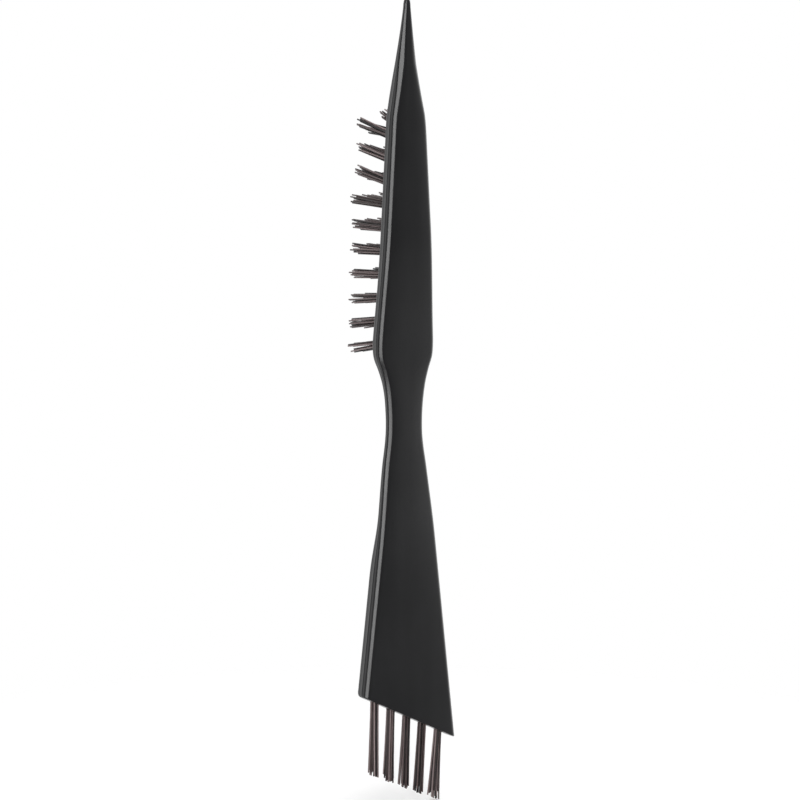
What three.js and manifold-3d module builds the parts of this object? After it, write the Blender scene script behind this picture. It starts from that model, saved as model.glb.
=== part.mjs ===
// Slim two-ended salon tint brush, in millimetres.
// A flat moulded handle with a pointed sectioning tip carries three rows of
// bristle tufts under its head and one row of longer tufts in its slanted end.
// Each tuft is folded over a small metal anchor at the bottom of a blind hole.
//
// Frame: +Z runs up the handle to the pointed tip, +Y is the way the head's
// tufts point, and the broad plain back faces -Y. The origin is the middle of
// the bottom of the whole brush's box.
// Along the handle, a place is given as its distance below the tip.

import * as THREE from 'three';
import { mergeVertices } from 'three/addons/utils/BufferGeometryUtils.js';
import Module from 'manifold-3d';

const { degToRad, lerp, smoothstep } = THREE.MathUtils;

// ---- Handle ----
const BLANK_LENGTH = 222;     // moulding before the slanted end is cut
const STATION_COUNT = 66;     // cross-sections along the blank
const STATION_CROWDING = 1.3; // above 1 crowds cross-sections towards the tip
const CHAMFER_ACROSS = 1.0;   // bright edge round the back
const CHAMFER_DEEP = 0.7;
const UNDERSIDE_ROUND = 1.0;  // radius along the underside's edges
const ROUND_STEPS = 3;
const CURVE_STEPS = 16;      // points along each curve of the outline
const EDGE_SHARE_OF_WIDTH = 0.42;     // how much of the half width a chamfer or round may take
const EDGE_SHARE_OF_THICKNESS = 0.3;  // and of the thickness

// Points on the outline: distance below the tip and half the width there.
const TIP_RADIUS = 0.9;
const BLUNT_HALF = 0.3;       // half width of the flat on the very tip
const SHOULDER = { at: 30, half: 5.25 };
const HEAD_START = { at: 36, half: 6.1 };
const HEAD_END = { at: 95.5, half: 9.85 };
const HEEL = { at: 103, half: 9.05 };
const WAIST = { at: 120.3, half: 6.1 };
const FLARE_START = { at: 133, half: 7.57 };
const FLARE_PER_MM = 0.1243;  // how fast the half width grows below the flare's start

// Control points that bend the outline's curves between those points.
const SPIRE_BOW = { at: 19.5, half: 3.1 };
const SHOULDER_CORNER = { at: 32.4, half: 5.85 };
const HEEL_CORNER = { at: 100.7, half: 10.1 };
const HEEL_FALL = { at: 105.4, half: 7.75 };
const WAIST_ENTRY_AT = 111.2;
const WAIST_EXIT_AT = 125.5;
const FLARE_LEAD = { at: 128.5, half: 6.98 };

// How far the back stands in from the head's flat back, and how thick the
// handle is: pairs of distance below the tip and value, blended smoothly.
const BACK_DIP = [
  [0, 1.3], [39, 0], [64, 0], [102, 1.57], [124, 1.83], [154, 0.78], [BLANK_LENGTH, 0.9],
];
const THICKNESS = [
  [0, 1.3], [30, 4.45], [64, 4.45], [84, 4.1], [97, 4.2], [113, 2.75], [120, 2.6], [144, 3.05], [163, 4.65],
  [BLANK_LENGTH, 4.65],
];

const END_AT = 204.9;         // slanted end, measured on the handle's axis
const END_SLANT = degToRad(25.5);

// ---- Tufts ----
const ROWS = 3;
const TUFTS_PER_ROW = 10;
const FIRST_TUFT_AT = 38.3;
const TUFT_PITCH = 6.52;
const ROW_SPACING = 4.3;
const ROW_SHARE_OF_HALF = 0.62;  // outer rows close in where the head is narrow
const TOE_TUFTS = 3;             // tufts per row in the group nearest the tip
const TOE_LEANS = [              // their leans towards the tip, in degrees, row by row
  [13, 13, 12],
  [6.5, 8.5, 6],
  [24, 6, 5],
];
const FAN_START = degToRad(4);   // the other tufts fan out, from leaning up to leaning down
const FAN_END = degToRad(-9);
const TOE_TUFT_LENGTH = 15;
const HEAD_TUFT_LENGTH = 17;
const HEAD_HOLE_DEPTH = 3.2;

const END_TUFTS = 5;
const END_TUFT_PITCH = 5.83;
const END_ROW_MIDDLE = 0.75;     // the end is wider on its long side
const END_LEAN_FIRST = degToRad(1);
const END_LEAN_LAST = degToRad(5);
const END_LENGTH_FIRST = 21.3;
const END_LENGTH_LAST = 20.2;
const END_HOLE_DEPTH = 4.6;

const HOLE_RADIUS = 1.4;
const GAP = 0.3;                 // clearance between neighbouring pieces
const ROOT_RADIUS = HOLE_RADIUS - GAP;
const SPREAD_RADIUS = 1.75;      // how wide a tuft has spread at its free end
const HOLE_SIDES = 16;
const TUFT_SIDES = 12;

// ---- Anchors ----
const ANCHOR_THICKNESS = 0.35;
const ANCHOR_HEIGHT = 1.2;
const FOLD_THICKNESS = 0.5;      // bristle folded under the anchor

const WELD = 1e-4;               // points closer than this are one

// ---- Colours ----
const HANDLE_MATERIAL = { color: 0x17181a, roughness: 0.46, metalness: 0 };
const BRISTLE_MATERIAL = { color: 0x2a2021, roughness: 0.38, metalness: 0 };
const ANCHOR_MATERIAL = { color: 0xb59a5a, roughness: 0.35, metalness: 1 };

const wasm = await Module();
wasm.setup();

function toSolid(geometry) {
  const bare = geometry.clone();
  bare.deleteAttribute('normal');
  bare.deleteAttribute('uv');
  const merged = mergeVertices(bare, WELD);
  return new wasm.Manifold(new wasm.Mesh({
    numProp: 3,
    vertProperties: new Float32Array(merged.attributes.position.array),
    triVerts: new Uint32Array(merged.index.array),
  }));
}

function toGeometry(solid) {
  const mesh = solid.getMesh();
  const geometry = new THREE.BufferGeometry();
  geometry.setAttribute('position', new THREE.BufferAttribute(mesh.vertProperties, 3));
  geometry.setIndex(new THREE.BufferAttribute(mesh.triVerts, 1));
  geometry.computeVertexNormals();
  return geometry;
}

function placed(geometry, matrix) {
  return toSolid(geometry.clone().applyMatrix4(matrix));
}

// ---- Handle's shape along its length ----

function blended(stations, at) {
  const next = Math.max(1, stations.findIndex(([end]) => at <= end));
  const [from, a] = stations[next - 1];
  const [to, b] = stations[next];
  return lerp(a, b, smoothstep(at, from, to));
}

// Half the handle's width, drawn as x = distance below the tip, y = half width.
function makeOutline() {
  const outline = new THREE.Path();
  outline.absellipse(TIP_RADIUS, 0, TIP_RADIUS, TIP_RADIUS, Math.PI, Math.PI / 2, true);
  outline.quadraticCurveTo(SPIRE_BOW.at, SPIRE_BOW.half, SHOULDER.at, SHOULDER.half);
  outline.quadraticCurveTo(SHOULDER_CORNER.at, SHOULDER_CORNER.half, HEAD_START.at, HEAD_START.half);
  outline.lineTo(HEAD_END.at, HEAD_END.half);
  outline.quadraticCurveTo(HEEL_CORNER.at, HEEL_CORNER.half, HEEL.at, HEEL.half);
  outline.bezierCurveTo(HEEL_FALL.at, HEEL_FALL.half, WAIST_ENTRY_AT, WAIST.half, WAIST.at, WAIST.half);
  outline.bezierCurveTo(
    WAIST_EXIT_AT, WAIST.half, FLARE_LEAD.at, FLARE_LEAD.half, FLARE_START.at, FLARE_START.half,
  );
  const flared = FLARE_START.half + (BLANK_LENGTH - FLARE_START.at) * FLARE_PER_MM;
  outline.lineTo(BLANK_LENGTH, flared);
  return outline.getPoints(CURVE_STEPS);
}

const outlinePoints = makeOutline();

function halfWidth(at) {
  const next = Math.max(1, outlinePoints.findIndex((point) => at <= point.x));
  const a = outlinePoints[next - 1];
  const b = outlinePoints[next];
  return lerp(a.y, b.y, (at - a.x) / (b.x - a.x));
}

function backAt(at) {
  return blended(BACK_DIP, at);
}

function undersideAt(at) {
  return backAt(at) + blended(THICKNESS, at);
}

// One cross-section, drawn with its flats 2 units from the middle and its
// edges 1 unit deep: chamfered at the back (-y), rounded at the underside (+y).
function makeSection() {
  const section = new THREE.Shape();
  section.moveTo(-1, -2);
  section.lineTo(1, -2);
  section.lineTo(2, -1);
  section.lineTo(2, 1);
  section.absarc(1, 1, 1, 0, Math.PI / 2, false);
  section.lineTo(-1, 2);
  section.absarc(-1, 1, 1, Math.PI / 2, Math.PI, false);
  section.lineTo(-2, -1);
  return section;
}

// A straight extrusion of the section whose every ring of points is then set
// to the handle's own width, thickness and edge sizes at its station.
function makeBlank() {
  const geometry = new THREE.ExtrudeGeometry(makeSection(), {
    depth: 1,
    steps: STATION_COUNT,
    curveSegments: ROUND_STEPS,
    bevelEnabled: false,
  });
  const position = geometry.attributes.position;
  for (let i = 0; i < position.count; i += 1) {
    const x = position.getX(i);
    const y = position.getY(i);
    const at = BLANK_LENGTH * (1 - position.getZ(i)) ** STATION_CROWDING;
    const half = Math.max(halfWidth(at), BLUNT_HALF);
    const thickness = blended(THICKNESS, at);
    const across = Math.min(y < 0 ? CHAMFER_ACROSS : UNDERSIDE_ROUND, EDGE_SHARE_OF_WIDTH * half);
    const deep = Math.min(y < 0 ? CHAMFER_DEEP : UNDERSIDE_ROUND, EDGE_SHARE_OF_THICKNESS * thickness);
    const fromMiddle = Math.sign(x) * (half - across * (2 - Math.abs(x)));
    const fromHalfThickness = Math.sign(y) * (thickness / 2 - deep * (2 - Math.abs(y)));
    position.setXYZ(i, fromMiddle, backAt(at) + thickness / 2 + fromHalfThickness, -at);
  }
  return geometry;
}

// ---- Where the tufts stand ----

function headTufts() {
  const tufts = [];
  for (let place = 0; place < TUFTS_PER_ROW; place += 1) {
    const at = FIRST_TUFT_AT + place * TUFT_PITCH;
    const inToe = place < TOE_TUFTS;
    const fan = (place - TOE_TUFTS) / (TUFTS_PER_ROW - 1 - TOE_TUFTS);
    const spacing = Math.min(ROW_SPACING, ROW_SHARE_OF_HALF * halfWidth(at));
    for (let row = 0; row < ROWS; row += 1) {
      const frame = new THREE.Matrix4();
      frame.makeRotationX(inToe ? degToRad(TOE_LEANS[row][place]) : lerp(FAN_START, FAN_END, fan));
      frame.setPosition((row - 1) * spacing, undersideAt(at), -at);
      tufts.push({
        name: `head_tuft_${'abc'[row]}${place + 1}`,
        frame,
        length: inToe ? TOE_TUFT_LENGTH : HEAD_TUFT_LENGTH,
        holeDepth: HEAD_HOLE_DEPTH,
      });
    }
  }
  return tufts;
}

function endTufts() {
  const tufts = [];
  for (let place = 0; place < END_TUFTS; place += 1) {
    const share = place / (END_TUFTS - 1);
    const x = END_ROW_MIDDLE + (place - (END_TUFTS - 1) / 2) * END_TUFT_PITCH;
    const at = END_AT + x * Math.tan(END_SLANT);
    const lean = lerp(END_LEAN_FIRST, END_LEAN_LAST, share);
    const frame = new THREE.Matrix4().makeRotationY(lean);
    frame.multiply(new THREE.Matrix4().makeRotationX(-Math.PI / 2));
    frame.setPosition(x, (backAt(at) + undersideAt(at)) / 2, -at);
    tufts.push({
      name: `end_tuft_${place + 1}`,
      anchorName: `end_anchor_${place + 1}`,
      frame,
      length: lerp(END_LENGTH_FIRST, END_LENGTH_LAST, share),
      holeDepth: END_HOLE_DEPTH,
    });
  }
  return tufts;
}

// ---- Solids in a tuft's own frame: +Y leaves the hole, 0 is its mouth ----

function makeHole({ holeDepth }) {
  const overshoot = 3;
  const hole = new THREE.CylinderGeometry(HOLE_RADIUS, HOLE_RADIUS, holeDepth + overshoot, HOLE_SIDES);
  return hole.translate(0, (overshoot - holeDepth) / 2, 0);
}

function anchorMiddle({ holeDepth }) {
  return GAP + FOLD_THICKNESS + GAP + ANCHOR_HEIGHT / 2 - holeDepth;
}

function makeAnchor(tuft) {
  const anchor = new THREE.BoxGeometry(2 * ROOT_RADIUS, ANCHOR_HEIGHT, ANCHOR_THICKNESS);
  return anchor.translate(0, anchorMiddle(tuft), 0);
}

function makeTuft(tuft) {
  const bottom = GAP - tuft.holeDepth;
  const profile = [
    new THREE.Vector2(0, bottom),
    new THREE.Vector2(ROOT_RADIUS, bottom),
    new THREE.Vector2(ROOT_RADIUS, 0),
    new THREE.Vector2(SPREAD_RADIUS, tuft.length),
    new THREE.Vector2(0, tuft.length),
  ];
  const bundle = toSolid(new THREE.LatheGeometry(profile, TUFT_SIDES));
  const slot = new THREE.BoxGeometry(3 * ROOT_RADIUS, ANCHOR_HEIGHT + 2 * GAP, ANCHOR_THICKNESS + 2 * GAP);
  slot.translate(0, anchorMiddle(tuft), 0);
  return toGeometry(bundle.subtract(toSolid(slot)));
}

// ---- Handle: blank, less its slanted end, less every tuft's hole ----

function makeHandle(tufts) {
  let solid = toSolid(makeBlank());
  const reach = 100;
  const offcut = new THREE.BoxGeometry(reach, reach, reach).translate(0, 0, -reach / 2);
  const slant = new THREE.Matrix4().makeRotationY(END_SLANT).setPosition(0, 0, -END_AT);
  solid = solid.subtract(placed(offcut, slant));
  for (const tuft of tufts) {
    solid = solid.subtract(placed(makeHole(tuft), tuft.frame));
  }
  return toGeometry(solid);
}

function named(name, geometry, material, frame) {
  const mesh = new THREE.Mesh(geometry, new THREE.MeshStandardMaterial(material));
  mesh.name = name;
  if (frame) {
    mesh.applyMatrix4(frame);
  }
  return mesh;
}

const head = headTufts();
const end = endTufts();

const brush = new THREE.Group();
brush.add(named('handle', makeHandle([...head, ...end]), HANDLE_MATERIAL));
for (const tuft of [...head, ...end]) {
  brush.add(named(tuft.name, makeTuft(tuft), BRISTLE_MATERIAL, tuft.frame));
}
for (const tuft of end) {
  brush.add(named(tuft.anchorName, makeAnchor(tuft), ANCHOR_MATERIAL, tuft.frame));
}

// Stand the whole brush on the origin, by the middle of its box's underside.
const box = new THREE.Box3().setFromObject(brush, true);
const middle = box.getCenter(new THREE.Vector3());
brush.position.set(-middle.x, -middle.y, -box.min.z);

const part = new THREE.Group();
part.add(brush);

export default part;
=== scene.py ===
"""A slim salon tint brush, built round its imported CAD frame. Lengths are in metres.

The handle is one fine loft that follows the CAD handle, cut by a blind hole for each tuft. A tuft is
a bundle of separate filaments, folded over a flat wire anchor near the bottom of its hole.
"""

import math
import random

import bpy
import numpy as np
from mathutils import Matrix, Vector


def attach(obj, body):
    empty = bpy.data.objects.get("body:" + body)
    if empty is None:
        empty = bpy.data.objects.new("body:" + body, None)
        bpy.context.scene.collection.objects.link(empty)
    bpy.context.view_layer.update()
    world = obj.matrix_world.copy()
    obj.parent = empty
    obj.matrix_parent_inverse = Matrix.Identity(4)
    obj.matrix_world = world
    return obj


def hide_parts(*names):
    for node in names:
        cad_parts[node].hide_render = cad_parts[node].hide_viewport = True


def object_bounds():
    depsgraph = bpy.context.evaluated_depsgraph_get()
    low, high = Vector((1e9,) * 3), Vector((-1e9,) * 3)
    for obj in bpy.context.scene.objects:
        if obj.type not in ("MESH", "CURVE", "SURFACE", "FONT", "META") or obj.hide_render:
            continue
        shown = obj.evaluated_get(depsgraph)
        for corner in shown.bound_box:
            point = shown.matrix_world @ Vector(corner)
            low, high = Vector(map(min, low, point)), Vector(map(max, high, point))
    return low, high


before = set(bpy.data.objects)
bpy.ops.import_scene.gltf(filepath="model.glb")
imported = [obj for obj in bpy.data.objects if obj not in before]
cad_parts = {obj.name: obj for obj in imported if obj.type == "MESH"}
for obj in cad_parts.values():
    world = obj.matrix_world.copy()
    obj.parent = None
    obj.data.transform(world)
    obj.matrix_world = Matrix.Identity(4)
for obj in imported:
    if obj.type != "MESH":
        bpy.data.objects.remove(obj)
cad_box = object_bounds()

MM = 0.001
SEED = 7

# ---- Camera ----
CAMERA_AZIMUTH = math.radians(-38)
CAMERA_ELEVATION = math.radians(6.5)
CAMERA_DISTANCE = 0.9
CAMERA_LENS = 141.1
SENSOR_WIDTH = 36
CLIP_START = 0.01
AIM_RIGHT = 3.03 * MM  # where the camera looks, from the middle of the brush's box
AIM_UP = 1.4 * MM

# ---- Handle surface ----
CHAMFER_ACROSS = 1.0 * MM
CHAMFER_DEEP = 0.7 * MM
SPIRE_CHAMFER_GROWTH = 0.35 * MM  # how much wider and deeper it is near the tip
SPIRE_LENGTH = 34 * MM
SPIRE_FULL_GROWTH = 0.4  # share of the spire with all of that growth
UNDERSIDE_ROUND = 1.0 * MM
EDGE_SHARE_OF_WIDTH = 0.42  # how much of the half width a chamfer or round may take
EDGE_SHARE_OF_THICKNESS = 0.3  # and of the thickness
BACK_EASE = 0.65 * MM  # how far in from the chamfer the back starts to turn down
BACK_EASE_SHARE = 0.4  # and how much of the back that may take
WALL_EASE = 0.85 * MM  # how far down from the chamfer the side wall starts to turn in
WALL_EASE_SHARE = 0.8
LEAST_WALL = 0.05 * MM
CHAMFER_EASE = 0.16  # how much of the chamfer each of those bends takes up
CROWN = 0.2 * MM  # how far the back falls away towards its edges
CROWN_FULL_HALF = 5 * MM  # half width from which it has its full crown
DRAFT = 0.012  # slope of the side walls, away from the parting line
PARTING_HEIGHT = 0.03 * MM
PARTING_WIDTH = 0.16 * MM
PARTING_FULL_DEEP = 1.5 * MM  # half thickness from which the parting line has its full height
PARTING_RIDGE = ((-1.0, 0), (-0.35, 0.9), (0.35, 0.9), (1.0, 0))  # its profile, as shares of those
TIP_HALF = 0.9 * MM
TIP_DOME = 0.8 * MM
TIP_START = 0.2  # share of its full size that the dome starts with
END_BACK_ROUND = 0.25 * MM
END_SIDE_ROUND = 0.4 * MM
END_UNDERSIDE_ROUND = 1.4 * MM

# ---- Handle mesh ----
STATIONS = 420
STATION_CROWDING = 1.35  # above 1 crowds stations towards the tip
END_STATIONS = 18
END_CROWDING = 1.7
SLANT_SPAN = (0.62, 0.9)  # shares of the length between which the rings turn to the end's slant
SLANT_ROUNDS = 5  # repeats that settle a slanted ring on the surface
BACK_STEPS = 9
BEND_STEPS = 7
UNDERSIDE_STEPS = 8
RING_CORNERS = 12  # a level with this many of the CAD handle's corners or more is one of its rings
HANDLE_CREASE = math.radians(38)

# ---- Holes ----
HOLE_RADIUS = 1.4 * MM
HOLE_RIM = 0.12 * MM
HOLE_SIDES = 32
HOLE_SPARE_DEPTH = 0.3 * MM
CUTTER_OVERSHOOT = 4 * MM

# ---- Tufts ----
FILAMENT_RADIUS = 0.22 * MM
FILAMENT_SIDES = 8
FILAMENT_CREASE = math.radians(50)
FILAMENT_SOFTENING = 0.25  # share of the radius lost at a cut end
FILAMENT_STATIONS = (0.0, 0.12, 0.3, 0.5, 0.7, 0.86, 1.0)
FILAMENT_BEND = 1.4  # above 1 keeps a filament straight near the hole
FOLD_DROP = 0.46 * MM  # most that a folded filament hangs below its anchor
PITCH = 0.47 * MM  # between filaments beside the anchor
FIRST_LAYER = [(place * PITCH, 0.42 * MM) for place in (-2, -1, 0, 1, 2)]  # across and over the anchor
HEAD_BUNDLE = FIRST_LAYER + [(place * PITCH, 0.87 * MM) for place in (-1, 0, 1)]
END_BUNDLE = FIRST_LAYER + [(place * PITCH, 0.83 * MM) for place in (-1.5, -0.5, 0.5, 1.5)]
MOUTH_RADIUS = 1.16 * MM
GOLDEN_TURN = math.pi * (3 - math.sqrt(5))
CLUMPS = 4
CLUMP_UNEVENNESS = 0.25  # share of the even spacing by which a clump may stand off its place
TIP_REACH = 1.55 * MM  # how far from the tuft's middle a clump may stand at the free end
CLUMP_REACH = (0.55, 1.0)  # least and most of that reach that a clump takes
CLUMP_PULL = 0.42  # how far a filament is drawn to its clump
TIP_SPREAD = 1.45  # how much wider a tuft is at its tips than at its hole, before the clumps pull
TIP_SCATTER = 0.1 * MM
HEAD_RAGGED = (0.06, 0.28)  # least and most that a tuft's filaments differ in length, as a share of it
END_RAGGED = (0.06, 0.2)
RAGGED_BIAS = 1.4  # above 1 keeps more filaments long
END_TRIM = 0.4  # the end tufts are cut off at a slant, longer towards the long side
TONES_AND_PAINTED_LIGHT = (0.06, 0.64, 0.24, 0.86, 0.14, 0.5)  # neighbouring filaments take these shades in turn: the low ones are painted shade between filaments, the high ones a painted highlight, the middle ones the nylon's own tone
TONE_SCATTER = 0.04
TUFT_CAP = 13  # corners on each end of a CAD tuft, its middle included
FREE_END = 5 * MM  # a CAD tuft's mouth ring lies further than this from its free end

# ---- Anchors ----
ANCHOR_THICKNESS = 0.35 * MM
ANCHOR_HEIGHT = 1.2 * MM
ANCHOR_WIDTH = 2.44 * MM
ANCHOR_LIFT = 0.65 * MM  # the folded filaments' room under it
ANCHOR_WEDGE = 0.16 * MM
ANCHOR_SOFT = 0.05 * MM
ANCHOR_SOFT_SHARE = 0.9
ANCHOR_CREASE = math.radians(30)

# ---- Colours ----
PLASTIC_DARK, PLASTIC_PALE = (0.0092, 0.0093, 0.0100), (0.0126, 0.0127, 0.0136)
# The darkest nylon colour is painted shade between filaments and the palest a painted highlight; the
# middle one is the nylon's own colour.
NYLON_PAINTED_SHADE, NYLON_MID, NYLON_PAINTED_HIGHLIGHT = (0.004, 0.003, 0.003), (0.084, 0.059, 0.058), (0.260, 0.205, 0.204)
NYLON_CUT_END = (0.30, 0.26, 0.26)
BRASS_DARK, BRASS_PALE = (0.55, 0.40, 0.17), (0.76, 0.59, 0.30)
FLOOR_DARK, FLOOR_PALE = (0.88, 0.88, 0.88), (0.92, 0.92, 0.92)

# ---- Studio ----
KEY_LIGHT = {"azimuth": -36, "elevation": 6, "distance": 0.9, "size": (0.4, 1.0), "power": 8.5}
TOP_LIGHT = {"azimuth": 0, "elevation": 80, "distance": 0.9, "size": (0.7, 0.7), "power": 6}
WAIST_FILL = {"azimuth": 44, "elevation": -11, "distance": 0.26, "size": (0.05, 0.05), "power": 0.009}
# How bright the surroundings are at each angle round the brush, 0 being straight out from its back.
SURROUNDINGS = (
    (-180, 1.0), (-140, 1.0), (-124, 0.4), (-108, 0.05), (0, 0.03), (28, 0.04), (38, 0.08),
    (48, 0.38), (60, 0.8), (80, 0.9), (110, 1.0), (130, 1.0), (180, 1.0),
)
SURROUNDINGS_POWER = 1.15
FLOOR_REACH = 0.21
FLOOR_FADE = (0.04, 0.2)  # distances from the middle between which the floor fades out
FLOOR_DROP = 0.2 * MM


# ---------------------------------------------------------------- helpers


def mesh_points(node):
    """The distinct corners of a CAD node's mesh."""
    corners = np.array([v.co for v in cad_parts[node].data.vertices])
    return np.unique(np.round(corners, 7), axis=0)


def lerp(a, b, share):
    return a + (b - a) * share


def smoothstep(value, low, high):
    share = np.clip((value - low) / (high - low), 0, 1)
    return share * share * (3 - 2 * share)


def add_object(name, verts, faces, material):
    mesh = bpy.data.meshes.new(name)
    mesh.from_pydata([tuple(v) for v in verts], [], faces)
    mesh.validate()
    mesh.polygons.foreach_set("use_smooth", [True] * len(mesh.polygons))
    mesh.materials.append(material)
    obj = bpy.data.objects.new(name, mesh)
    bpy.context.scene.collection.objects.link(obj)
    return obj


def rings_and_caps(rings, around):
    """Faces that join rings of corners in order, with a cap on the first and on the last."""
    faces = []
    for i in range(rings - 1):
        for k in range(around):
            a, b = i * around + k, i * around + (k + 1) % around
            faces.append((a, b, b + around, a + around))
    faces.append(tuple(reversed(range(around))))
    faces.append(tuple(range((rings - 1) * around, rings * around)))
    return faces


def gather(parts):
    """One list of corners and one of faces from several (corners, faces) pairs."""
    verts, faces = [], []
    for part_verts, part_faces in parts:
        base = len(verts)
        verts += part_verts
        faces += [tuple(i + base for i in face) for face in part_faces]
    return verts, faces


# ---------------------------------------------------------------- materials


class Nodes:
    """A new material's node tree, with short ways to add to it."""

    def __init__(self, name):
        self.material = bpy.data.materials.new(name)
        self.material.use_nodes = True
        self.tree = self.material.node_tree
        self.shader = self.tree.nodes["Principled BSDF"]

    def add(self, kind, **settings):
        node = self.tree.nodes.new(kind)
        for name, value in settings.items():
            setattr(node, name, value)
        return node

    def link(self, output, socket):
        self.tree.links.new(output, socket)

    def place(self, stretch=(1, 1, 1)):
        """Position in the object, in metres, stretched along its axes."""
        where = self.add("ShaderNodeTexCoord")
        mapping = self.add("ShaderNodeMapping")
        mapping.inputs["Scale"].default_value = stretch
        self.link(where.outputs["Object"], mapping.inputs["Vector"])
        return mapping.outputs["Vector"]

    def noise(self, vector, scale, detail=2.0, roughness=0.5):
        node = self.add("ShaderNodeTexNoise")
        node.inputs["Scale"].default_value = scale
        node.inputs["Detail"].default_value = detail
        node.inputs["Roughness"].default_value = roughness
        self.link(vector, node.inputs["Vector"])
        return node.outputs["Fac"]

    def remap(self, value, from_low, from_high, to_low, to_high):
        node = self.add("ShaderNodeMapRange")
        node.inputs["From Min"].default_value = from_low
        node.inputs["From Max"].default_value = from_high
        node.inputs["To Min"].default_value = to_low
        node.inputs["To Max"].default_value = to_high
        self.link(value, node.inputs["Value"])
        return node.outputs["Result"]

    def ramp(self, value, *stops):
        node = self.add("ShaderNodeValToRGB")
        while len(node.color_ramp.elements) < len(stops):
            node.color_ramp.elements.new(0.5)
        for element, (position, colour) in zip(node.color_ramp.elements, stops):
            element.position = position
            element.color = (*colour, 1)
        self.link(value, node.inputs["Fac"])
        return node.outputs["Color"]

    def blend(self, a, b, share):
        """Two values added together, the second one by its share and the first by the rest."""
        scaled = [self.math("MULTIPLY", a, 1 - share), self.math("MULTIPLY", b, share)]
        return self.math("ADD", *scaled)

    def math(self, operation, a, b):
        node = self.add("ShaderNodeMath", operation=operation)
        for socket, value in zip(node.inputs, (a, b)):
            if isinstance(value, (int, float)):
                socket.default_value = value
            else:
                self.link(value, socket)
        return node.outputs["Value"]

    def bump(self, height, distance, strength=1.0, normal=None):
        node = self.add("ShaderNodeBump")
        node.inputs["Distance"].default_value = distance
        node.inputs["Strength"].default_value = strength
        self.link(height, node.inputs["Height"])
        if normal is not None:
            self.link(normal, node.inputs["Normal"])
        return node.outputs["Normal"]


def handle_material():
    """Satin black moulded plastic: fine mould grain, faint flow lines and handling marks."""
    n = Nodes("handle_plastic")
    inputs = n.shader.inputs
    grain = n.noise(n.place(), scale=4200, detail=3, roughness=0.6)
    flow = n.noise(n.place(stretch=(1, 1, 0.12)), scale=260, detail=4)
    cloud = n.noise(n.place(), scale=45, detail=3)
    scuff = n.noise(n.place(stretch=(6, 6, 0.35)), scale=420, detail=5, roughness=0.7)
    tone = n.blend(flow, cloud, share=0.45)
    n.link(n.ramp(tone, (0.3, PLASTIC_DARK), (0.7, PLASTIC_PALE)), inputs["Base Color"])
    satin = n.remap(cloud, 0.3, 0.7, 0.28, 0.34)
    marks = n.remap(scuff, 0.55, 0.8, 0, 0.09)
    n.link(n.math("ADD", satin, marks), inputs["Roughness"])
    fine = n.bump(grain, distance=0.012 * MM, strength=0.8)
    n.link(n.bump(flow, distance=0.03 * MM, strength=0.5, normal=fine), inputs["Normal"])
    inputs["IOR"].default_value = 1.5
    return n.material


def bristle_material():
    """Dark brown nylon: each filament its own tone, scuffed along its length, paler at the cut end. The
    darkest filaments are painted shade between filaments and the palest a painted highlight.
    """
    n = Nodes("bristle_nylon")
    inputs = n.shader.inputs
    tone = n.add("ShaderNodeAttribute", attribute_name="tone").outputs["Fac"]
    along = n.add("ShaderNodeAttribute", attribute_name="along").outputs["Fac"]
    streak = n.noise(n.place(stretch=(1, 0.08, 1)), scale=3000)
    shade = n.blend(tone, streak, share=0.2)
    # The dark stop is painted shade between filaments and the pale stop a painted highlight; the middle
    # stop is the nylon's own colour.
    colour = n.ramp(shade, (0.15, NYLON_PAINTED_SHADE), (0.5, NYLON_MID), (0.9, NYLON_PAINTED_HIGHLIGHT))
    ends = n.add("ShaderNodeMix", data_type="RGBA", blend_type="ADD")
    n.link(n.remap(along, 0.97, 1.0, 0.0, 0.04), ends.inputs["Factor"])
    n.link(colour, ends.inputs["A"])
    ends.inputs["B"].default_value = (*NYLON_CUT_END, 1)
    n.link(ends.outputs["Result"], inputs["Base Color"])
    n.link(n.remap(streak, 0.3, 0.7, 0.30, 0.42), inputs["Roughness"])
    n.link(n.bump(streak, distance=0.01 * MM, strength=0.6), inputs["Normal"])
    inputs["IOR"].default_value = 1.53
    inputs["Specular IOR Level"].default_value = 0.3
    return n.material


def anchor_material():
    """Bright cut brass wire with drawing marks."""
    n = Nodes("anchor_brass")
    inputs = n.shader.inputs
    drawn = n.noise(n.place(stretch=(0.1, 1, 1)), scale=5200, detail=3)
    n.link(n.ramp(drawn, (0.3, BRASS_DARK), (0.7, BRASS_PALE)), inputs["Base Color"])
    n.link(n.remap(drawn, 0.3, 0.7, 0.28, 0.42), inputs["Roughness"])
    n.link(n.bump(drawn, distance=0.01 * MM), inputs["Normal"])
    inputs["Metallic"].default_value = 1.0
    return n.material


# ---------------------------------------------------------------- handle


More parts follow.
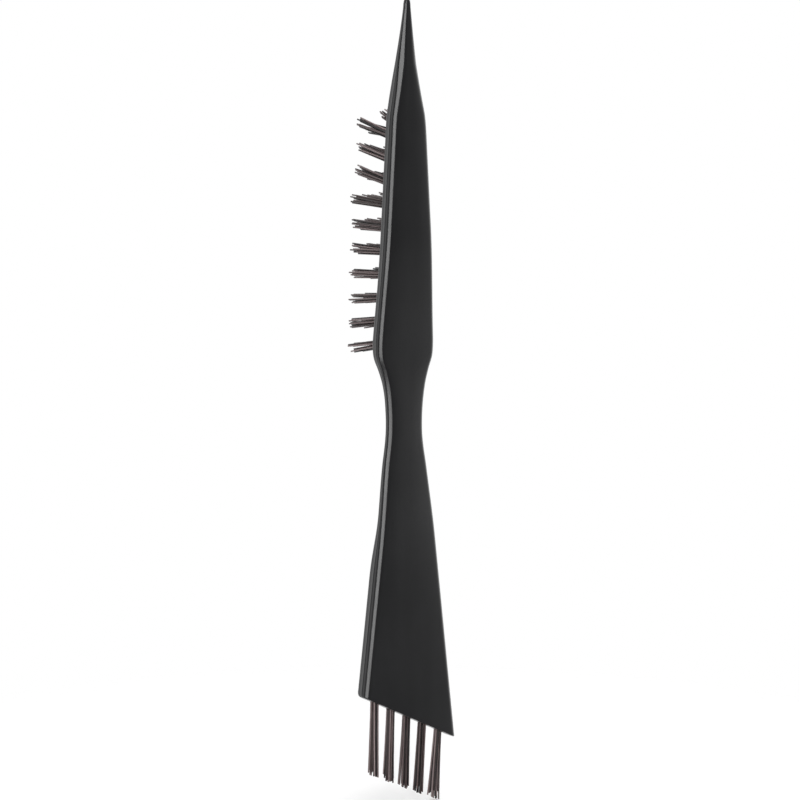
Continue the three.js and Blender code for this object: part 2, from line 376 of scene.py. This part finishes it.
class HandleShape:
    """The CAD handle's width, back and underside at any distance below its tip."""

    def __init__(self):
        points = mesh_points("handle")
        left = points[points[:, 0].argmin()]
        right = points[points[:, 2].argmin()]
        self.tip = points[:, 2].max()
        rings = []
        for z in np.unique(np.round(points[:, 2], 6)):
            ring = points[np.abs(points[:, 2] - z) < MM / 1000]
            if len(ring) >= RING_CORNERS and z > left[2] + 0.1 * MM:
                (x_low, y_low, _), (x_high, y_high, _) = ring.min(0), ring.max(0)
                rings.append((self.tip - z, (x_high - x_low) / 2, y_low, y_high, (x_low + x_high) / 2))
        rings.sort()
        self.at, self.half, self.back, self.underside, middle = np.array(rings).T
        self.axis = float(np.median(middle))
        self.slant = (left[2] - right[2]) / (right[0] - left[0])
        self.end = self.tip - left[2] + self.slant * (self.axis - left[0])

    def smooth(self, values, at):
        """A smooth curve through the stations, carried straight on past the last one."""
        slope = np.gradient(values, self.at)
        i = np.clip(np.searchsorted(self.at, at) - 1, 0, len(self.at) - 2)
        width = self.at[i + 1] - self.at[i]
        t = np.clip((at - self.at[i]) / width, 0, 1)
        curve = (
            (1 + 2 * t) * (1 - t) ** 2 * values[i]
            + t * (1 - t) ** 2 * width * slope[i]
            + t * t * (3 - 2 * t) * values[i + 1]
            + t * t * (t - 1) * width * slope[i + 1]
        )
        past = np.maximum(at - self.at[-1], 0)
        return curve + past * slope[-1]

    def section(self, at, to_end):
        """Half a section at each distance below the tip, from the back's middle to the underside's.

        It is a list of points, each an array of x from the axis and an array of y.
        """
        dome = np.sqrt(np.clip(1 - (1 - np.clip(at / TIP_DOME, 0, 1)) ** 2, TIP_START**2, 1))
        half = np.maximum(self.smooth(self.half, at), TIP_HALF) * dome
        half = half - end_inset(to_end, END_SIDE_ROUND)
        middle = (self.smooth(self.back, at) + self.smooth(self.underside, at)) / 2
        deep = (self.smooth(self.underside, at) - self.smooth(self.back, at)) / 2 * dome
        back = middle - deep + end_inset(to_end, END_BACK_ROUND)
        underside = middle + deep - end_inset(to_end, END_UNDERSIDE_ROUND)
        deep = (underside - back) / 2
        middle = (underside + back) / 2

        widest, deepest = EDGE_SHARE_OF_WIDTH * half, EDGE_SHARE_OF_THICKNESS * 2 * deep
        plain = smoothstep(at, SPIRE_FULL_GROWTH * SPIRE_LENGTH, SPIRE_LENGTH)
        growth = SPIRE_CHAMFER_GROWTH * (1 - plain)
        chamfer_across = np.minimum(CHAMFER_ACROSS + growth, widest)
        chamfer_deep = np.minimum(CHAMFER_DEEP + growth, deepest)
        round_ = np.minimum(UNDERSIDE_ROUND, np.minimum(widest, deepest))
        crown = CROWN * np.clip(half / CROWN_FULL_HALF, 0, 1) ** 2
        draft = DRAFT * deep
        ridge = PARTING_HEIGHT * np.clip(deep / PARTING_FULL_DEEP, 0, 1)
        flat = half - draft - chamfer_across

        ease = np.minimum(BACK_EASE, BACK_EASE_SHARE * flat)
        free_wall = np.maximum(deep - crown - chamfer_deep - PARTING_WIDTH / 2, LEAST_WALL)
        wall_ease = np.minimum(WALL_EASE, WALL_EASE_SHARE * free_wall)
        on_chamfer = CHAMFER_EASE * np.hypot(chamfer_across, chamfer_deep)
        back_corner = (flat, back + crown)
        wall_corner = (half - draft, back + crown + chamfer_deep)
        under_corner = (half - draft, underside)

        run = []
        for share in np.linspace(0, 1, BACK_STEPS + 1)[:-1]:
            across = (flat - ease) * share
            run.append((across, back + crown * (across / flat) ** 3))
        eased = (flat - ease, back + crown * ((flat - ease) / flat) ** 3)
        run += fillet_points(eased, back_corner, wall_corner, ease, on_chamfer, BEND_STEPS)
        run += fillet_points(back_corner, wall_corner, (half, middle), on_chamfer, wall_ease, BEND_STEPS)
        for step, lift in PARTING_RIDGE:
            offset = step * PARTING_WIDTH / 2 * np.clip(deep / MM, 0, 1)
            run.append((half - draft * np.abs(offset) / deep + ridge * lift, middle + offset))
        run += fillet_points((half, middle), under_corner, (0, underside), round_, round_, UNDERSIDE_STEPS)
        for share in (0.6, 0.3, 0):
            run.append(((half - draft) * share, underside))
        return run


def end_inset(to_end, radius):
    """How far a rounded edge has come in from the surface, near the slanted end."""
    share = 1 - np.clip(to_end / radius, 0, 1)
    return radius * (1 - np.sqrt(1 - share**2))


def fillet_points(before, corner, after, reach_before, reach_after, steps):
    """Points on a bend round a corner, from one distance before it to another after it."""
    ends = []
    for other, reach in ((before, reach_before), (after, reach_after)):
        dx, dy = other[0] - corner[0], other[1] - corner[1]
        length = np.maximum(np.hypot(dx, dy), 1e-9)
        ends.append((corner[0] + dx / length * reach, corner[1] + dy / length * reach))
    points = []
    for t in np.linspace(0, 1, steps):
        a, b, c = (1 - t) ** 2, 2 * t * (1 - t), t * t
        points.append(tuple(a * ends[0][i] + b * corner[i] + c * ends[1][i] for i in (0, 1)))
    return points


def handle_mesh(shape):
    """A fine loft down the handle, whose rings turn gradually to lie along the slanted end."""
    at = shape.end * np.linspace(0, 1, STATIONS) ** STATION_CROWDING
    close = shape.end - END_UNDERSIDE_ROUND * np.linspace(1, 0, END_STATIONS) ** END_CROWDING
    at = np.unique(np.concatenate([at[at < shape.end - END_UNDERSIDE_ROUND], close]))
    slant = shape.slant * smoothstep(at, *(share * shape.end for share in SLANT_SPAN))
    half_count = len(shape.section(at[:1], at[:1] + 1))
    loop = [(k, 1) for k in range(half_count)] + [(k, -1) for k in range(half_count - 2, 0, -1)]
    lines = []
    for k, side in loop:
        below = at.copy()
        for _ in range(SLANT_ROUNDS):
            x, y = shape.section(below, shape.end - at)[k]
            below = at + slant * side * x
        lines.append(np.stack([shape.axis + side * x, y, shape.tip - at - slant * side * x], -1))
    rings = np.stack(lines, 1)
    count, around = rings.shape[:2]
    faces = [tuple(range(around)), tuple(reversed(range((count - 1) * around, count * around)))]
    for i in range(count - 1):
        for k in range(around):
            a, b = i * around + k, i * around + (k + 1) % around
            faces.append((a, a + around, b + around, b))
    return rings.reshape(-1, 3), faces


def revolve(profile, sides, origin, axis, across):
    """A closed solid turned about an axis, from (distance along, radius) pairs; the ends are capped."""
    side = axis.cross(across)
    verts = []
    for along, radius in profile:
        for k in range(sides):
            turn = math.tau * k / sides
            outward = across * math.cos(turn) + side * math.sin(turn)
            verts.append(origin + axis * along + outward * radius)
    return verts, rings_and_caps(len(profile), sides)


def make_hole_cutter(seats):
    """One object with a rimmed plug for every hole."""
    plugs = []
    for seat in seats:
        profile = [
            (-seat.depth - HOLE_SPARE_DEPTH, HOLE_RADIUS),
            (-HOLE_RIM, HOLE_RADIUS),
            (HOLE_RIM, HOLE_RADIUS + 2 * HOLE_RIM),
            (CUTTER_OVERSHOOT, HOLE_RADIUS + 2 * HOLE_RIM),
        ]
        plugs.append(revolve(profile, HOLE_SIDES, seat.mouth, seat.axis, seat.across))
    verts, faces = gather(plugs)
    mesh = bpy.data.meshes.new("holes")
    mesh.from_pydata([tuple(v) for v in verts], [], faces)
    cutter = bpy.data.objects.new("holes", mesh)
    bpy.context.scene.collection.objects.link(cutter)
    return cutter


def build_handle(seats, material):
    verts, faces = handle_mesh(HandleShape())
    handle = add_object("moulded_handle", verts, faces, material)
    cutter = make_hole_cutter(seats)
    cut = handle.modifiers.new("holes", "BOOLEAN")
    cut.object = cutter
    cut.operation = "DIFFERENCE"
    cut.solver = "EXACT"
    bpy.context.view_layer.update()
    cut_handle = handle.evaluated_get(bpy.context.evaluated_depsgraph_get())
    mesh = bpy.data.meshes.new_from_object(cut_handle)
    handle.modifiers.clear()
    handle.data = mesh
    bpy.data.objects.remove(cutter)
    mesh.polygons.foreach_set("use_smooth", [True] * len(mesh.polygons))
    mesh.set_sharp_from_angle(angle=HANDLE_CREASE)
    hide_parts("handle")
    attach(handle, "root")


# ---------------------------------------------------------------- tufts


class Seat:
    """Where one tuft stands, read from its CAD solid."""

    def __init__(self, node):
        in_end = node.startswith("end")
        points = mesh_points(node)
        if in_end:
            ends = (points[:, 2].argmax(), points[:, 2].argmin())
        else:
            ends = (points[:, 1].argmin(), points[:, 1].argmax())
        axis = points[ends[1]] - points[ends[0]]
        for _ in range(4):
            axis = axis / np.linalg.norm(axis)
            order = (points @ axis).argsort()
            bottom, top = points[order[:TUFT_CAP]].mean(0), points[order[-TUFT_CAP:]].mean(0)
            axis = top - bottom
        self.node = node
        self.axis = Vector(axis).normalized()
        along = (points - bottom) @ np.array(self.axis)
        self.depth = float(along[along < along.max() - FREE_END].max())
        self.length = float(along.max() - self.depth)
        self.mouth = Vector(bottom) + self.axis * self.depth
        wide = Vector((1, 0, 0))
        self.across = (wide - self.axis * wide.dot(self.axis)).normalized()
        self.over = self.axis.cross(self.across)
        self.bundle = END_BUNDLE if in_end else HEAD_BUNDLE
        self.ragged = END_RAGGED if in_end else HEAD_RAGGED
        self.trim = END_TRIM if in_end else 0
        # An end tuft's filaments stop just above what the brush stands on.
        floor = cad_box[0].z + FILAMENT_RADIUS
        self.reach = (floor - self.mouth.z) / self.axis.z if in_end else math.inf

    def point(self, across, over, along):
        return self.mouth + self.across * across + self.over * over + self.axis * along


def make_clumps(chance):
    """Where each clump of filaments ends up at the free end."""
    clumps = []
    turn = chance.uniform(0, math.tau)
    for k in range(CLUMPS):
        shift = chance.uniform(-CLUMP_UNEVENNESS, CLUMP_UNEVENNESS)
        angle = turn + math.tau * (k + shift) / CLUMPS
        reach = TIP_REACH * chance.uniform(*CLUMP_REACH)
        clumps.append((reach * math.cos(angle), reach * math.sin(angle)))
    return clumps


def mouth_places(seat, chance):
    """Where the filaments' ends leave the hole, evenly spread: a list for each side of the anchor."""
    count = 2 * len(seat.bundle)
    turn = chance.uniform(0, math.tau)
    places = []
    for k in range(count):
        radius = MOUTH_RADIUS * math.sqrt((k + 0.5) / count)
        angle = turn + k * GOLDEN_TURN
        places.append((radius * math.cos(angle), radius * math.sin(angle)))
    places.sort(key=lambda place: place[1])
    return sorted(places[count // 2:]), sorted(places[:count // 2])


def filament_end(seat, root, place, clumps, ragged, chance):
    """Points from beside the anchor to a filament's free end, drawn towards its clump."""
    clump = min(clumps, key=lambda c: math.hypot(c[0] - place[0], c[1] - place[1]))
    tip = []
    for part, drawn in zip(place, clump):
        spread = lerp(TIP_SPREAD * part, drawn, CLUMP_PULL)
        tip.append(spread + chance.gauss(0, TIP_SCATTER))
    length = seat.length * (1 - ragged * chance.random() ** RAGGED_BIAS) + seat.trim * tip[0]
    length = min(length, seat.reach)
    anchor_bottom = ANCHOR_LIFT - seat.depth
    points = [seat.point(*root, anchor_bottom), seat.point(*root, anchor_bottom + ANCHOR_HEIGHT)]
    for share in FILAMENT_STATIONS:
        bend = share**FILAMENT_BEND
        across = lerp(place[0], tip[0], bend)
        over = lerp(place[1], tip[1], bend)
        points.append(seat.point(across, over, length * share))
    return points


def filament(seat, root, places, clumps, ragged, chance):
    """The centre line of one folded filament: up one side of the anchor and up the other."""
    across, over = root
    one = filament_end(seat, (across, over), places[0], clumps, ragged, chance)
    other = filament_end(seat, (across, -over), places[1], clumps, ragged, chance)
    fold = []
    for turn in (0.25, 0.5, 0.75):
        angle = math.pi * turn
        drop = min(over, FOLD_DROP) * math.sin(angle)
        fold.append(seat.point(across, over * math.cos(angle), ANCHOR_LIFT - seat.depth - drop))
    return list(reversed(one)) + fold + other


def tube(points, radius, sides):
    """A round tube along a line of points with softened cut ends."""
    line = [np.array(p) for p in points]
    steps = [line[i + 1] - line[i] for i in range(len(line) - 1)]
    tangents = [steps[0]] + [steps[i] + steps[i + 1] for i in range(len(steps) - 1)] + [steps[-1]]
    tangents = [t / np.linalg.norm(t) for t in tangents]
    softened = FILAMENT_SOFTENING * radius
    line = [
        line[0], line[0] + tangents[0] * softened, *line[1:-1],
        line[-1] - tangents[-1] * softened, line[-1],
    ]
    tangents = [tangents[0], *tangents, tangents[-1]]
    radii = [radius - softened] + [radius] * (len(line) - 2) + [radius - softened]
    normal = np.cross(tangents[0], (0.31, 0.59, 0.74))
    verts = []
    for centre, tangent, r in zip(line, tangents, radii):
        normal = normal - tangent * normal.dot(tangent)
        normal = normal / np.linalg.norm(normal)
        other = np.cross(tangent, normal)
        for k in range(sides):
            turn = math.tau * k / sides
            verts.append(centre + (normal * math.cos(turn) + other * math.sin(turn)) * r)
    return verts, rings_and_caps(len(line), sides)


def build_tuft(seat, material, chance):
    tubes, tones = [], []
    clumps = make_clumps(chance)
    ragged = chance.uniform(*seat.ragged)
    upper, lower = mouth_places(seat, chance)
    first_tone = chance.randrange(len(TONES_AND_PAINTED_LIGHT))
    for order, (root, *places) in enumerate(zip(sorted(seat.bundle), upper, lower)):
        points = filament(seat, root, places, clumps, ragged, chance)
        tubes.append(tube(points, FILAMENT_RADIUS, FILAMENT_SIDES))
        # The shades in turn are partly the filaments' own spread of tone and partly painted shade
        # (darkest) and painted highlight (palest).
        tone = TONES_AND_PAINTED_LIGHT[(first_tone + order) % len(TONES_AND_PAINTED_LIGHT)] + chance.gauss(0, TONE_SCATTER)
        tones += [tone] * len(tubes[-1][0])
    verts, faces = gather(tubes)
    alongs = [max(0.0, (Vector(p) - seat.mouth).dot(seat.axis) / seat.length) for p in verts]
    tuft = add_object(f"bristles_{seat.node}", verts, faces, material)
    for name, values in (("tone", tones), ("along", alongs)):
        attribute = tuft.data.attributes.new(name, "FLOAT", "POINT")
        attribute.data.foreach_set("value", values)
    tuft.data.set_sharp_from_angle(angle=FILAMENT_CREASE)
    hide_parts(seat.node)
    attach(tuft, "root")


def build_anchor(seat, material):
    """A short flat wire, its ends sheared to a shallow wedge that bites the hole's wall."""
    half_width, half_height, half_thick = ANCHOR_WIDTH / 2, ANCHOR_HEIGHT / 2, ANCHOR_THICKNESS / 2
    middle = ANCHOR_LIFT - seat.depth + half_height
    shoulder = half_width - ANCHOR_WEDGE
    quarter = [(shoulder - ANCHOR_SOFT, half_thick), (shoulder, half_thick - ANCHOR_SOFT)]
    outline = [(-half_width, 0)]
    outline += [(-x, -y) for x, y in reversed(quarter)]
    outline += [(x, -y) for x, y in quarter]
    outline += [(half_width, 0)]
    outline += [(x, y) for x, y in reversed(quarter)]
    outline += [(-x, y) for x, y in quarter]
    levels = [
        (-half_height, ANCHOR_SOFT_SHARE), (-half_height + ANCHOR_SOFT, 1),
        (half_height - ANCHOR_SOFT, 1), (half_height, ANCHOR_SOFT_SHARE),
    ]
    verts = []
    for level, share in levels:
        for across, over in outline:
            verts.append(seat.point(across, over * share, middle + level))
    faces = rings_and_caps(len(levels), len(outline))
    anchor = add_object(seat.node.replace("tuft", "anchor"), verts, faces, material)
    anchor.data.set_sharp_from_angle(angle=ANCHOR_CREASE)
    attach(anchor, "root")


# ---------------------------------------------------------------- studio


def view_axes(azimuth, elevation):
    """Unit vectors back towards a viewer, to their right and up."""
    back = Vector((
        math.sin(azimuth) * math.cos(elevation),
        -math.cos(azimuth) * math.cos(elevation),
        math.sin(elevation),
    ))
    right = Vector((math.cos(azimuth), math.sin(azimuth), 0))
    return back, right, back.cross(right)


def aimed(place, back, right, up):
    """The matrix of a camera or light at a place, looking the opposite way to back."""
    return Matrix.Translation(place) @ Matrix((right, up, back)).transposed().to_4x4()


def make_camera():
    back, right, up = view_axes(CAMERA_AZIMUTH, CAMERA_ELEVATION)
    middle = (cad_box[0] + cad_box[1]) / 2
    aim = middle + right * AIM_RIGHT + up * AIM_UP
    data = bpy.data.cameras.new("camera")
    data.lens = CAMERA_LENS
    data.sensor_width = SENSOR_WIDTH
    data.clip_start = CLIP_START
    camera = bpy.data.objects.new("camera", data)
    camera.matrix_world = aimed(aim + back * CAMERA_DISTANCE, back, right, up)
    bpy.context.scene.collection.objects.link(camera)
    bpy.context.scene.camera = camera


def softbox(name, azimuth, elevation, distance, size, power):
    """A rectangular light that faces the brush."""
    data = bpy.data.lights.new(name, "AREA")
    data.shape = "RECTANGLE"
    data.size, data.size_y = size
    data.energy = power
    light = bpy.data.objects.new(name, data)
    back, right, up = view_axes(math.radians(azimuth), math.radians(elevation))
    middle = (cad_box[0] + cad_box[1]) / 2
    light.matrix_world = aimed(middle + back * distance, back, right, up)
    light.visible_camera = False
    bpy.context.scene.collection.objects.link(light)


def make_world():
    """White beyond the brush and dim on the camera's side; plain white where the camera looks past it."""
    world = bpy.data.worlds.new("studio")
    bpy.context.scene.world = world
    world.use_nodes = True
    tree = world.node_tree
    tree.nodes.clear()
    link = tree.links.new

    def add(kind, **settings):
        node = tree.nodes.new(kind)
        for name, value in settings.items():
            setattr(node, name, value)
        return node

    where = add("ShaderNodeTexCoord")
    split = add("ShaderNodeSeparateXYZ")
    flip = add("ShaderNodeMath", operation="MULTIPLY")
    flip.inputs[1].default_value = -1
    angle = add("ShaderNodeMath", operation="ARCTAN2")
    share = add("ShaderNodeMapRange")
    share.inputs["From Min"].default_value = -math.pi
    share.inputs["From Max"].default_value = math.pi
    ramp = add("ShaderNodeValToRGB")
    while len(ramp.color_ramp.elements) < len(SURROUNDINGS):
        ramp.color_ramp.elements.new(0.5)
    for element, (degrees, grey) in zip(ramp.color_ramp.elements, SURROUNDINGS):
        element.position = (degrees + 180) / 360
        element.color = (grey, grey, grey, 1)
    lit = add("ShaderNodeBackground")
    lit.inputs["Strength"].default_value = SURROUNDINGS_POWER
    seen = add("ShaderNodeBackground")
    seen.inputs["Color"].default_value = (1, 1, 1, 1)
    path = add("ShaderNodeLightPath")
    mix = add("ShaderNodeMixShader")
    out = add("ShaderNodeOutputWorld")
    link(where.outputs["Generated"], split.inputs["Vector"])
    link(split.outputs["Y"], flip.inputs[0])
    link(split.outputs["X"], angle.inputs[0])
    link(flip.outputs["Value"], angle.inputs[1])
    link(angle.outputs["Value"], share.inputs["Value"])
    link(share.outputs["Result"], ramp.inputs["Fac"])
    link(ramp.outputs["Color"], lit.inputs["Color"])
    link(path.outputs["Is Camera Ray"], mix.inputs["Fac"])
    link(lit.outputs["Background"], mix.inputs[1])
    link(seen.outputs["Background"], mix.inputs[2])
    link(mix.outputs["Shader"], out.inputs["Surface"])


def make_floor():
    """A pale disc under the brush that fades into the white round it."""
    n = Nodes("floor")
    inputs = n.shader.inputs
    paint = n.noise(n.place(), scale=30)
    n.link(n.ramp(paint, (0.3, FLOOR_DARK), (0.7, FLOOR_PALE)), inputs["Base Color"])
    inputs["Roughness"].default_value = 0.9
    inputs["Specular IOR Level"].default_value = 0.1
    radius = n.add("ShaderNodeVectorMath", operation="LENGTH")
    n.link(n.place(stretch=(1, 1, 0)), radius.inputs[0])
    n.link(n.remap(radius.outputs["Value"], *FLOOR_FADE, 1.0, 0.0), inputs["Alpha"])
    corners = [(x * FLOOR_REACH, y * FLOOR_REACH, 0) for x, y in ((-1, -1), (1, -1), (1, 1), (-1, 1))]
    mesh = bpy.data.meshes.new("floor")
    mesh.from_pydata(corners, [], [(0, 1, 2, 3)])
    mesh.materials.append(n.material)
    floor = bpy.data.objects.new("floor", mesh)
    floor.location.z = cad_box[0].z - FLOOR_DROP
    bpy.context.scene.collection.objects.link(floor)
    floor.visible_glossy = False


# ---------------------------------------------------------------- build

bpy.context.scene.view_settings.view_transform = "Standard"
make_camera()
make_world()
make_floor()
softbox("key_left", **KEY_LIGHT)
softbox("top", **TOP_LIGHT)
softbox("waist_fill", **WAIST_FILL)

handle_plastic = handle_material()
bristle_nylon = bristle_material()
anchor_brass = anchor_material()

seats = [Seat(name) for name in sorted(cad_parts) if "tuft" in name]
build_handle(seats, handle_plastic)
for order, seat in enumerate(seats):
    build_tuft(seat, bristle_nylon, random.Random(SEED * 1000 + order))
    if seat.node.startswith("head"):
        build_anchor(seat, anchor_brass)
for name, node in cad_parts.items():
    if "anchor" in name:
        node.data.materials.clear()
        node.data.materials.append(anchor_brass)
